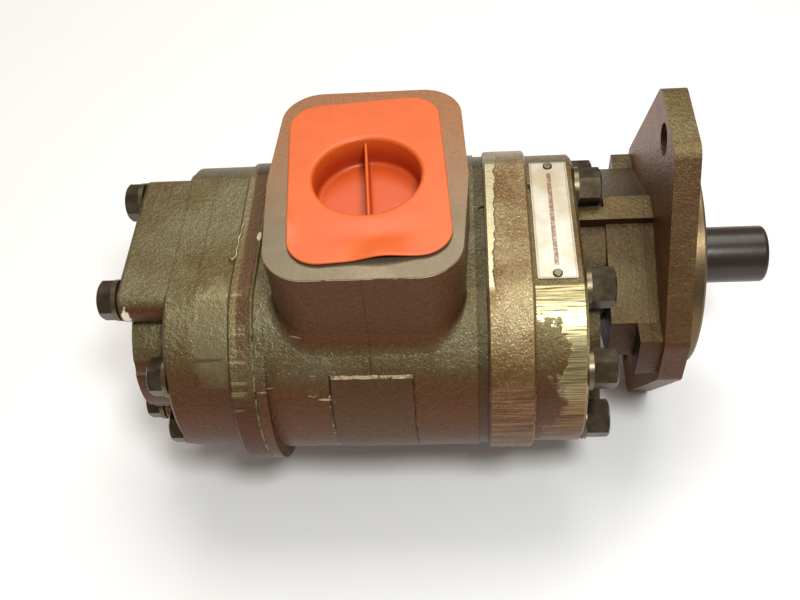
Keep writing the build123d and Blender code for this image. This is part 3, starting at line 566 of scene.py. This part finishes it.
# Each casting's colour on top, its colour on its lower sides as painted shade, its pale colour as painted
# highlight, its roughness, and its marks
castings = {
    "shaft_end_cover": ("cover", (104, 84, 50), (84, 50, 24), (158, 150, 110), 0.36, cover_marks),
    "front_gear_housing": ("front", (122, 92, 54), (96, 60, 28), (232, 222, 176), 0.28, front_marks),
    "bearing_carrier": ("carrier", (98, 86, 56), (92, 55, 26), (176, 176, 144), 0.31, carrier_marks),
    "rear_gear_housing": ("rear", (116, 100, 64), (82, 45, 20), (158, 156, 124), 0.35, rear_marks),
    "port_end_cover": ("port", (104, 88, 54), (90, 52, 24), (154, 154, 124), 0.35, port_marks),
}
finishes = {
    **{name: cast_iron(*casting) for name, casting in castings.items()},
    "front_cap_screws": black_oxide("black_oxide", 1.0),
    "front_washers": black_oxide("washer_oxide", 1.3),
    "inlet_cap": cap_plastic(),
    "shaft_cap": gloss_black(),
    "name_plate": plate_metal(),
    "drive_gear_shaft": steel("gear_steel", (190, 188, 182), 0.28),
    "front_cover_thrust_plate": steel("bronze", (190, 142, 78), 0.35),
    "shaft_seal": seal_rubber(),
    "seal_retaining_ring": steel("ring_steel", (92, 90, 86), 0.35),
    "flash_bead": steel("bright_flash", (186, 176, 144), 0.42),
    "plate_drive_screws": steel("drive_screw_steel", (120, 112, 96), 0.35),
}
same_finish = {
    "front_cap_screws": ["rear_long_cap_screws", "rear_short_cap_screws"],
    "front_washers": ["rear_washers"],
    "drive_gear_shaft": [
        "rear_drive_gear",
        "front_driven_gear",
        "rear_driven_gear",
        "splined_coupling",
        "front_dowels",
        "rear_dowels",
    ],
    "front_cover_thrust_plate": [name for name in nodes if name.endswith(("thrust_plate", "bushing"))],
    "shaft_seal": ["front_cover_seal", "front_carrier_seal", "rear_carrier_seal", "port_cover_seal"],
}
for first, others in same_finish.items():
    for other in others:
        finishes[other] = finishes[first]
for name, node in nodes.items():
    node.data.materials.clear()
    node.data.materials.append(finishes[name])


# Shapes that replace or join the CAD pieces
def outward(mesh):
    """Turns a closed mesh's faces outwards."""
    form = bmesh.new()
    form.from_mesh(mesh)
    bmesh.ops.recalc_face_normals(form, faces=form.faces)
    form.to_mesh(mesh)
    form.free()


def linked(name, mesh):
    """A new object in the scene, at the origin, that shows a mesh."""
    piece = bpy.data.objects.new(name, mesh)
    bpy.context.collection.objects.link(piece)
    return piece


def add_piece(name, points, faces, finish, body, ends=()):
    """A mesh object of its own, in the model's frame, that rides on a body; ends are faces that close it."""
    mesh = bpy.data.meshes.new(name)
    mesh.from_pydata(points.reshape(-1, 3).tolist(), [], faces.tolist() + list(ends))
    outward(mesh)
    mesh.shade_smooth()
    mesh.set_sharp_from_angle(angle=radians(40))
    mesh.materials.append(finishes[finish])
    piece = linked(name, mesh)
    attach(piece, body)
    return piece


def grid_faces(rows, columns, closed_rows=False):
    """Quads of a grid whose columns close round; its rows close too where asked."""
    row = np.arange(rows if closed_rows else rows - 1)[:, None]
    column = np.arange(columns)[None, :]
    next_row, next_column = (row + 1) % rows, (column + 1) % columns
    here, beside = row * columns + column, row * columns + next_column
    above, across = next_row * columns + column, next_row * columns + next_column
    return np.stack([here, beside, across, above], -1).reshape(-1, 4)


def plain_shading(mesh):
    """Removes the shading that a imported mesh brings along, which no longer fits once its points change."""
    for spent in ("custom_normal", "sharp_edge", "sharp_face"):
        if spent in mesh.attributes:
            mesh.attributes.remove(mesh.attributes[spent])


def merged_copy(node_name, name):
    """A copy of a CAD node's mesh with its doubled points merged, so that it is one closed form."""
    mesh = nodes[node_name].data.copy()
    mesh.name = name
    plain_shading(mesh)
    form = bmesh.new()
    form.from_mesh(mesh)
    bmesh.ops.remove_doubles(form, verts=form.verts, dist=1e-6)
    form.to_mesh(mesh)
    form.free()
    return linked(name, mesh)


def boss_cutter():
    """What is cut away from the carrier's side rectangle: a prism along X, past both its ends.

    Its section lies between an arc about the driven gear's axis, at the boss's radius, and a line outside it.
    """
    arc_steps = 100
    clear_out, clear_ends = 0.01, 0.002
    turn = np.radians(np.linspace(206, 144, arc_steps))
    arc = np.stack([driven_y + boss_radius * np.cos(turn), boss_radius * np.sin(turn)], 1)
    outside = np.minimum(driven_y + 1.3 * boss_radius * np.cos(turn), driven_y - boss_radius - clear_out)
    section = np.concatenate([arc, np.stack([outside, arc[:, 1]], 1)[::-1]])
    ends = (boss_low_x - clear_ends, boss_high_x + clear_ends)
    points = np.concatenate([np.column_stack([np.full(len(section), x), section]) for x in ends])
    count = len(section)
    here = np.arange(count)
    beside = (here + 1) % count
    sides = np.stack([here, beside, beside + count, here + count], 1)
    step = np.arange(arc_steps - 1)
    first_end = np.stack([step, count - 1 - step, count - 2 - step, step + 1], 1)
    second_end = first_end[:, ::-1] + count
    mesh = bpy.data.meshes.new("boss_cutter")
    mesh.from_pydata(points.tolist(), [], np.concatenate([sides, first_end, second_end]).tolist())
    outward(mesh)
    return linked("boss_cutter", mesh)


def cast_carrier():
    """The bearing carrier with its side rectangle cut back to follow the round body, just proud of it."""
    piece = merged_copy("bearing_carrier", "carrier_casting")
    cutter = boss_cutter()
    cut = piece.modifiers.new("boss_cut", "BOOLEAN")
    cut.operation = "DIFFERENCE"
    cut.solver = "EXACT"
    cut.object = cutter
    bpy.context.view_layer.update()
    evaluated = piece.evaluated_get(bpy.context.evaluated_depsgraph_get())
    casting = bpy.data.meshes.new_from_object(evaluated)
    piece.modifiers.clear()
    piece.data = casting
    bpy.data.objects.remove(cutter)
    plain_shading(casting)
    casting.shade_smooth()
    casting.set_sharp_from_angle(angle=radians(25))
    even = piece.modifiers.new("even_shading", "WEIGHTED_NORMAL")
    even.keep_sharp = True
    even.weight = 80
    casting.materials.clear()
    casting.materials.append(finishes["bearing_carrier"])
    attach(piece, "pump_body")
    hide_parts("bearing_carrier")


def body_height(y):
    """Height of the carrier's body at a Y: the nearer axis's circle, or the flat where that is lower."""
    near = np.sqrt(np.maximum(carrier_radius**2 - (y - driven_y) ** 2, 0))
    far = np.sqrt(np.maximum(carrier_radius**2 - y**2, 0))
    return np.minimum(np.where(y < body_y, near, far), flat_height)


def pad_outline():
    """The pad's outline as points and outward normals: a six-sided figure carried out by a round corner.

    The long sides bulge by the waist at their middle. Each corner is an arc from one wall's normal to the
    next one's.
    """
    arc_steps = 22
    lean = np.arctan2(pad_waist, pad_half_long)
    end_y = pad_half_long - pad_corner
    middle_x = pad_half_wide - pad_corner / cos(lean)
    end_x = middle_x - end_y * np.tan(lean)
    right = [(middle_x, 0), (end_x, end_y)]
    left = [(-end_x, end_y), (-middle_x, 0), (-end_x, -end_y)]
    inner = np.array([*right, *left, (end_x, -end_y)])
    first = np.array([-lean, lean, pi / 2, pi - lean, pi + lean, 3 * pi / 2])
    last = np.array([lean, pi / 2, pi - lean, pi + lean, 3 * pi / 2, 2 * pi - lean])
    angle = first[:, None] + (last - first)[:, None] * np.linspace(0, 1, arc_steps)[None, :]
    normal = np.stack([np.cos(angle), np.sin(angle)], -1)
    place = inner[:, None, :] + pad_corner * normal + np.array([pad_x, body_y])
    return place.reshape(-1, 2), normal.reshape(-1, 2)


def pad_skirt():
    """The hollow round between the pad's walls and the body.

    Each section is a curve from the wall, bending by way of the corner to the body: a quadratic Bezier curve
    whose reach varies with the wall's direction. The section closes inside the metal.
    """
    left_reach, right_reach, end_reach = 0.0052, 0.0023, 0.0070
    sink, inset, curve_steps = 0.0001, 0.0015, 12
    place, normal = pad_outline()
    side_reach = np.where(normal[:, 0] < 0, left_reach, right_reach)
    reach = end_reach * normal[:, 1] ** 2 + side_reach * normal[:, 0] ** 2
    step = np.linspace(0, 1, curve_steps)[:, None]
    foot_height = body_height((place + reach[:, None] * normal)[:, 1])
    corner_height = body_height(place[:, 1])
    wall_part = (1 - step) ** 2 * (corner_height + reach * 1.15)
    height = wall_part + 2 * step * (1 - step) * corner_height + step**2 * (foot_height - sink)
    out = np.vstack([reach * step**2 - sink * (1 - step), np.full(len(place), -inset)])
    height = np.vstack([height, np.minimum(corner_height, foot_height) - inset])
    x = place[:, 0] + out * normal[:, 0]
    y = place[:, 1] + out * normal[:, 1]
    faces = grid_faces(curve_steps + 1, len(place), True)
    add_piece("pad_skirt", np.stack([x, y, height], -1), faces, "bearing_carrier", "pump_body")


def soft_step(value, low, high):
    """0 below low and 1 above high, smooth between."""
    part = np.clip((value - low) / (high - low), 0, 1)
    return part * part * (3 - 2 * part)


def bell(value, middle, width):
    """1 at the middle, falling off to either side as a bell-shaped wave."""
    return np.exp(-(((value - middle) / width) ** 2))


def turned_cap(across, length):
    """Places on the cap, told from its middle, in the model's frame: turned a little, as the cap sits."""
    tilt = radians(cap_turn)
    x = pad_x + across * cos(tilt) - length * sin(tilt)
    y = body_y + across * sin(tilt) + length * cos(tilt)
    return x, y


def rounded_reach(ray, half_wide, half_long, corner):
    """Distance along each ray from the middle of a rounded rectangle to its outline.

    It is the nearer of the straight sides, or the corner's circle where the ray meets that.
    """
    ray = np.abs(ray)
    straight = np.array([half_wide, half_long])
    box = straight - corner
    to_sides = (straight / np.maximum(ray, 1e-9)).min(1)
    lean = (ray * box).sum(1)
    to_corner = lean + np.sqrt(np.maximum(lean**2 - (box**2).sum() + corner**2, 0))
    return np.where((ray * to_corner[:, None] > box).all(1), to_corner, to_sides)


def cap_lift(across, length, radius, height, underside):
    """How far the cap's plate is off the pad: bell-shaped waves at the near and left edges, and a low dish.

    Only the plate outside the cup lifts, and only its upper face has the dish.
    """
    near_wave = 0.0026 * bell(across, 0.006, 0.012) - 0.0003
    near_edge = soft_step(-length, cap_half_long - 0.0155, cap_half_long) * near_wave
    left_wave = 0.0012 * bell(length, -0.030, 0.010)
    left_edge = soft_step(-across, cap_half_wide - 0.007, cap_half_wide) * left_wave
    dish = 0.0007 * bell(across, 0.006, 0.02) * bell(length, -0.042, 0.006)
    plate = soft_step(radius, 0.0325, 0.035)
    return plate * (np.maximum(near_edge, 0) + left_edge - dish * (height > underside + 0.0005))


def moulded_cap():
    """The orange inlet cap: a thin plate with a cup in it, its near edge lifted off the pad at the middle.

    Rings run from the cup's floor up its wall, over its rounded rim, out to the plate's rounded edge, and
    back under the plate and down the plug. Each ring blends from a circle to a rounded rectangle on its
    way out.
    """
    cup, rim, plug, pole = 0.0282, 0.0022, 0.03145, 0.0002
    corner, sheet, edge, floor_round, plug_round = 0.017, 0.002, 0.0007, 0.0025, 0.0012
    around, over, bends, under = 288, 26, 7, 22
    seat = pad_top + 0.00005
    top = seat + sheet
    plug_end = cap_low[2]
    bend = np.linspace(0, pi / 2, bends)
    rise, fall = np.sin(bend), np.cos(bend)

    floor_r = np.concatenate([[pole], np.linspace(0.2, 0.9, 4) * cup])
    wall_r = np.concatenate([cup - floor_round + floor_round * rise, cup + rim - rim * fall])
    wall_z = np.concatenate([cap_floor + floor_round - floor_round * fall, top - rim + rim * rise])
    cup_r = np.concatenate([floor_r, wall_r])
    cup_z = np.concatenate([np.full(len(floor_r), cap_floor), wall_z])
    plug_r = np.array([plug, plug, plug - plug_round, plug * 0.6, pole])
    plug_z = np.array([seat - 0.002, plug_end + plug_round, plug_end, plug_end, plug_end])

    turn = np.linspace(0, 2 * pi, around, endpoint=False)
    ray = np.stack([np.cos(turn), np.sin(turn)], 1)
    outline = rounded_reach(ray, cap_half_wide - edge, cap_half_long - edge, corner - edge)
    part = np.concatenate([np.linspace(0.04, 0.97, over), np.ones(bends), np.linspace(0.97, 0.0, under)])
    start = np.concatenate([np.full(over + bends, cup + rim), np.full(under, plug)])
    grow = np.concatenate([np.zeros(over), edge * rise, np.zeros(under)])
    plate_z = np.concatenate([np.full(over, top), top - edge + edge * fall, np.full(under, seat)])
    plate_r = start[:, None] + part[:, None] * (outline[None, :] - start[:, None]) + grow[:, None]

    full_turn = np.ones(around)
    radius = np.vstack([cup_r[:, None] * full_turn, plate_r, plug_r[:, None] * full_turn])
    height = np.concatenate([cup_z, plate_z, plug_z])[:, None] * full_turn
    across, length = radius * ray[:, 0], radius * ray[:, 1]
    height = height + cap_lift(across, length, radius, height, seat)
    points = np.stack([*turned_cap(across, length), height], -1)
    rings = len(height)
    ring = np.arange(around)
    ends = [ring.tolist(), (ring[::-1] + (rings - 1) * around).tolist()]
    faces = grid_faces(rings, around)
    piece = add_piece("moulded_cap", points, faces, "inlet_cap", cap_body, ends)
    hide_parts("inlet_cap")


def cap_web():
    """The web across the cup: a profile with hollow rounds at its foot and a rounded top, carried across."""
    half, foot, sink, half_span, stations = 0.0008, 0.0016, 0.001, 0.0284, 24
    web_top = pad_top - 0.0010
    bend = np.linspace(0, pi / 2, 6)
    rise, fall = np.sin(bend), np.cos(bend)
    side = np.concatenate([half + foot * (1 - rise), [half], half * fall])
    up = np.concatenate([cap_floor + foot * (1 - fall), [web_top - half], web_top - half + half * rise])
    profile_x = np.concatenate([side, -side[::-1][1:], [-side[0], side[0]]])
    profile_z = np.concatenate([up, up[::-1][1:], [cap_floor - sink] * 2])
    reach = np.linspace(-half_span, half_span, stations)[:, None]
    count = len(profile_x)
    across = np.repeat(profile_x[None, :], stations, 0)
    length = np.repeat(reach, count, 1)
    height = np.repeat(profile_z[None, :], stations, 0)
    points = np.stack([*turned_cap(across, length), height], -1)
    last = (stations - 1) * count
    ends = [list(range(count)), list(range(last + count - 1, last - 1, -1))]
    faces = grid_faces(stations, count)
    add_piece("cap_web", points, faces, "inlet_cap", cap_body, ends)


def flash_bead():
    """The thin bead of metal where the moulds met on the rear housing's flat, with a crescent at its end.

    A tube of round section follows a slightly wavy line along Y and then a half turn; it tapers at both ends.
    """
    start_y, end_y, crescent = -0.019, -0.0445, 0.0042
    start_x = rear_high[0] - 0.0118
    thickness, lift, sides = 0.00052, 0.0001, 10
    part = np.linspace(0, 1, 70)
    line_y = start_y + (end_y - start_y) * part
    line_x = start_x + 0.0022 * part * (part - 1.6) + 0.00025 * np.sin(19 * part)
    bend = np.linspace(0, pi * 1.05, 36)[1:]
    x = np.concatenate([line_x, line_x[-1] - crescent * (1 - np.cos(bend)) * 0.5])
    y = np.concatenate([line_y, line_y[-1] - crescent * np.sin(bend)])
    path = np.stack([x, y, np.full(len(x), flat_height + lift)], 1)
    ahead = np.gradient(path, axis=0)
    ahead /= np.linalg.norm(ahead, axis=1)[:, None]
    upward = np.array([0, 0, 1])
    sideways = np.cross(ahead, upward)
    part = np.linspace(0, 1, len(path))
    taper = 0.25 + np.minimum(1, 6 * np.minimum(part, 1 - part))
    thick = thickness * taper * (1 + 0.2 * np.sin(23 * part))
    turn = np.linspace(0, 2 * pi, sides, endpoint=False)[None, :, None]
    ring = np.cos(turn) * sideways[:, None, :] + np.sin(turn) * upward
    points = path[:, None, :] + thick[:, None, None] * ring
    last = (len(path) - 1) * sides
    ends = [list(range(sides - 1, -1, -1)), list(range(last, last + sides))]
    faces = grid_faces(len(path), sides)
    add_piece("flash_bead", points, faces, "flash_bead", "pump_body", ends)


# Floor, light and camera
def pale_floor(height):
    """A wide plain floor just below the object's lowest point."""
    half = 4.0
    corners = [(-half, -half, height), (half, -half, height), (half, half, height), (-half, half, height)]
    mesh = bpy.data.meshes.new("floor")
    mesh.from_pydata(corners, [], [(0, 1, 2, 3)])
    material, shader, add, connect = new_material("pale_floor")
    tone = noise(add, object_point(add), 6, 3)
    connect(blend_colour(add, tone, (0.99, 0.98, 0.99), (0.97, 0.96, 0.97)), shader.inputs["Base Color"])
    shader.inputs["Roughness"].default_value = 0.9
    mesh.materials.append(material)
    linked("floor", mesh)


def area_light(name, place, aim, size, power, colour):
    """A square light of a given side in metres and power in watts, turned to face a point."""
    light = bpy.data.lights.new(name, "AREA")
    light.size = size
    light.energy = power
    light.color = colour
    lamp = linked(name, light)
    lamp.location = place
    lamp.rotation_euler = (Vector(aim) - Vector(place)).to_track_quat("-Z", "Y").to_euler()


def studio_light():
    """A pale even surround, a wide soft light overhead, and a smaller key by the camera, nearer the shaft."""
    world = bpy.data.worlds.new("studio")
    world.use_nodes = True
    background = world.node_tree.nodes["Background"]
    background.inputs["Color"].default_value = (1, 0.93, 0.85, 1)
    background.inputs["Strength"].default_value = 0.3
    bpy.context.scene.world = world
    bpy.context.scene.view_settings.view_transform = "Standard"
    middle = ((cover_high[0] + port_low[0]) / 2, body_y, 0)
    area_light("overhead", (0.0, 0.9, 2.2), middle, 1.6, 38, (1, 0.97, 0.93))
    area_light("key", (0.06, -0.46, 0.82), (-0.09, body_y, 0.02), 0.18, 5.6, (0.95, 1, 0.97))


def photo_camera():
    """The photograph's camera: its place, its three turns and its lens, fitted to the object's edges."""
    place = (-0.11655, -0.39644, 0.43486)
    yaw, fall, roll = 0.14787, 0.8952, -0.13855
    focal_pixels, width_pixels, height_pixels = 962.8, 800, 600
    middle_x, middle_y = 381.3, 330.7
    forward = Vector((-sin(yaw) * cos(fall), cos(yaw) * cos(fall), -sin(fall)))
    level_right = Vector((cos(yaw), sin(yaw), 0))
    level_up = level_right.cross(forward)
    right = cos(roll) * level_right + sin(roll) * level_up
    up = -sin(roll) * level_right + cos(roll) * level_up
    lens = bpy.data.cameras.new("camera")
    lens.sensor_width = 36
    lens.lens = lens.sensor_width * focal_pixels / width_pixels
    lens.shift_x = (width_pixels / 2 - middle_x) / width_pixels
    lens.shift_y = (middle_y - height_pixels / 2) / width_pixels
    lens.clip_start = 0.01
    camera = linked("camera", lens)
    turn = Matrix((right, up, -forward)).transposed().to_4x4()
    camera.matrix_world = Matrix.Translation(place) @ turn
    bpy.context.scene.camera = camera


cast_carrier()
pad_skirt()
flash_bead()
moulded_cap()
cap_web()
pale_floor(cad_bounds[0][2] - 0.0005)
studio_light()
photo_camera()
